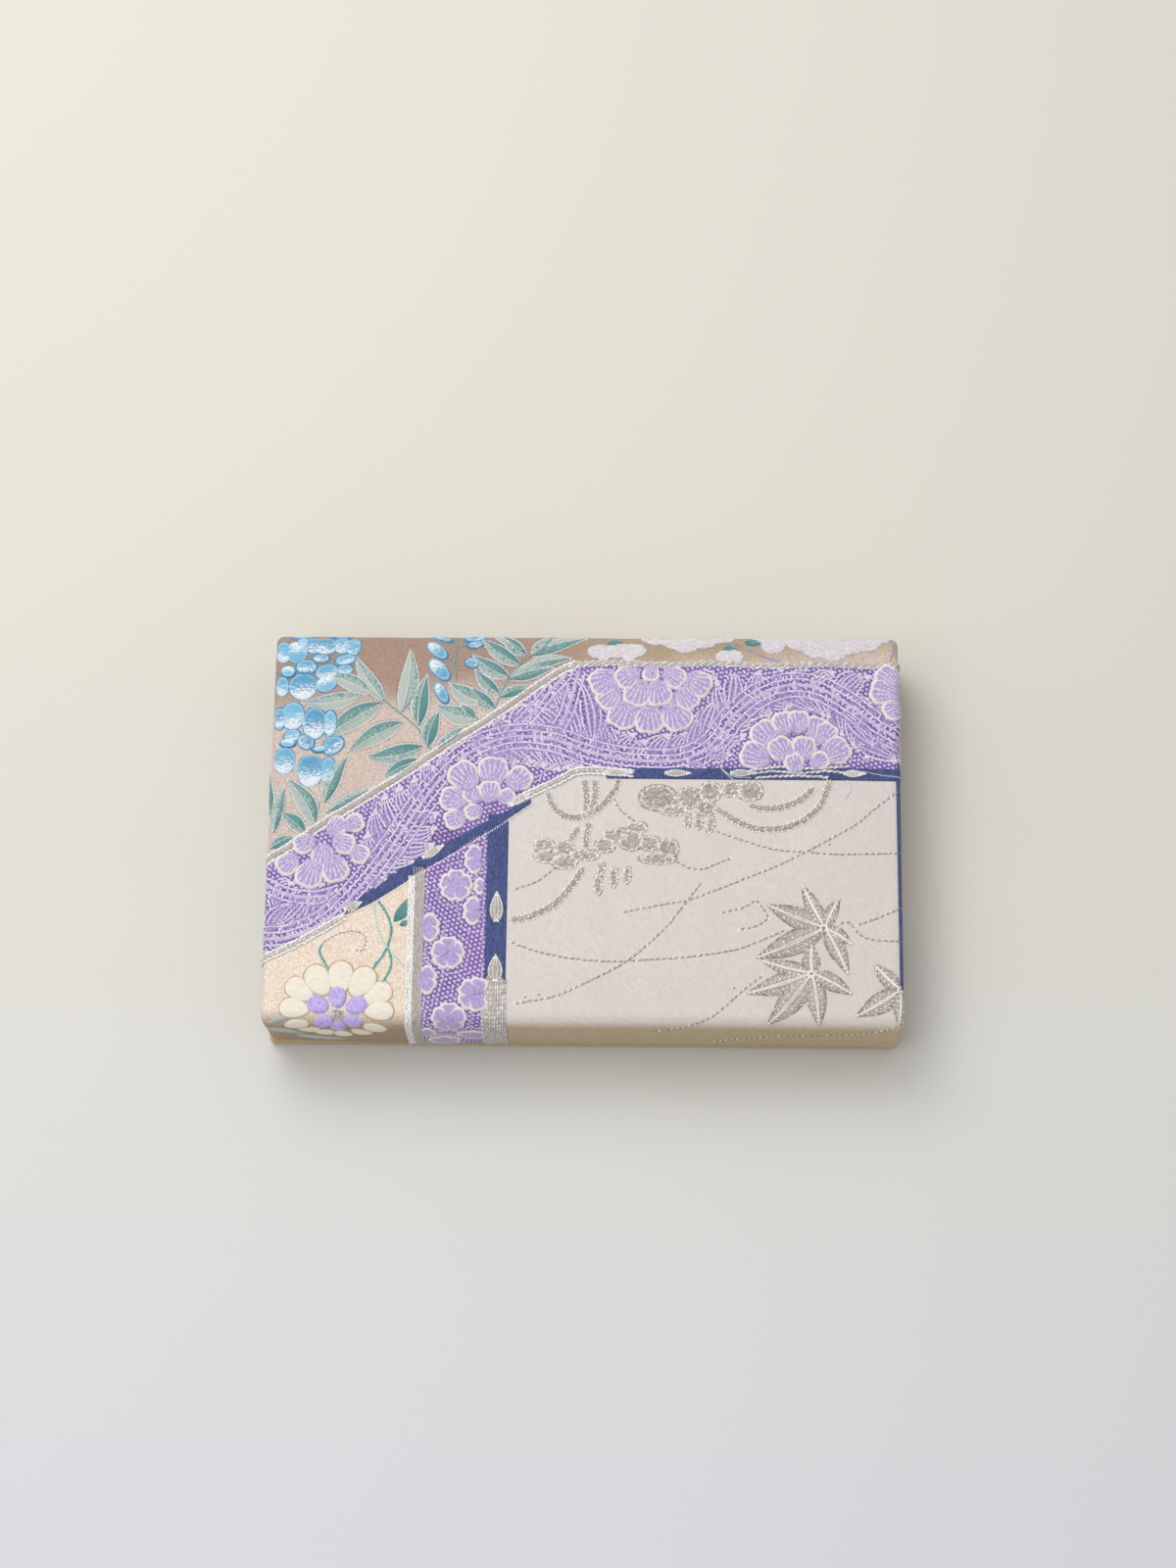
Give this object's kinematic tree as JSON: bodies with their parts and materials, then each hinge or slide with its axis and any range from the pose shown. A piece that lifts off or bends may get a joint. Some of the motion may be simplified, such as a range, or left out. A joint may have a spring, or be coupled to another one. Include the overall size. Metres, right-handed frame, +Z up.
{
  "type": "clutch bag",
  "caption": "Flat brocade clutch bag with a stiff wrap-over flap that hinges along the top edge and covers a soft-sided pouch with a magnetic snap",
  "frame": {"origin": "centre of the bag's footprint, on the surface that it lies on", "axes": "+X across the bag's width, +Y from the lower edge to the spine, +Z up from the back panel to the flap's face"},
  "size_m": [0.241, 0.1556, 0.0346],
  "materials": {
    "brocade": "woven silk brocade",
    "wadding": "soft fibre wadding",
    "board": "grey board, pressed wood fibre",
    "lining": "plain woven lining",
    "snap": "nickel plated"
  },
  "bodies": {
    "bag": {"back_cover": "brocade", "back_wadding": "wadding", "back_board": "board", "back_lining": "lining", "pouch_cover": "brocade", "pouch_board": "board", "pouch_lining": "lining", "gusset_left": "lining", "gusset_right": "lining", "slip_pocket": "lining", "snap_socket": "snap", "socket_plate": "snap"},
    "spine": {"spine_cover": "brocade", "spine_wadding": "wadding", "spine_board": "board", "spine_lining": "lining"},
    "flap": {"flap_cover": "brocade", "flap_wadding": "wadding", "flap_board": "board", "flap_lining": "lining", "snap_stud": "snap", "stud_plate": "snap"}
  },
  "joints": [
    {"name": "spine_fold", "type": "hinge", "parent": "bag", "child": "spine", "pos_m": [0, 0.0735, 0.004], "axis": [-1, 0, 0], "range_deg": [0, 90]},
    {"name": "flap_fold", "type": "hinge", "parent": "spine", "child": "flap", "pos_m": [0, 0.0735, 0.03], "axis": [-1, 0, 0], "range_deg": [0, 90]}
  ]
}
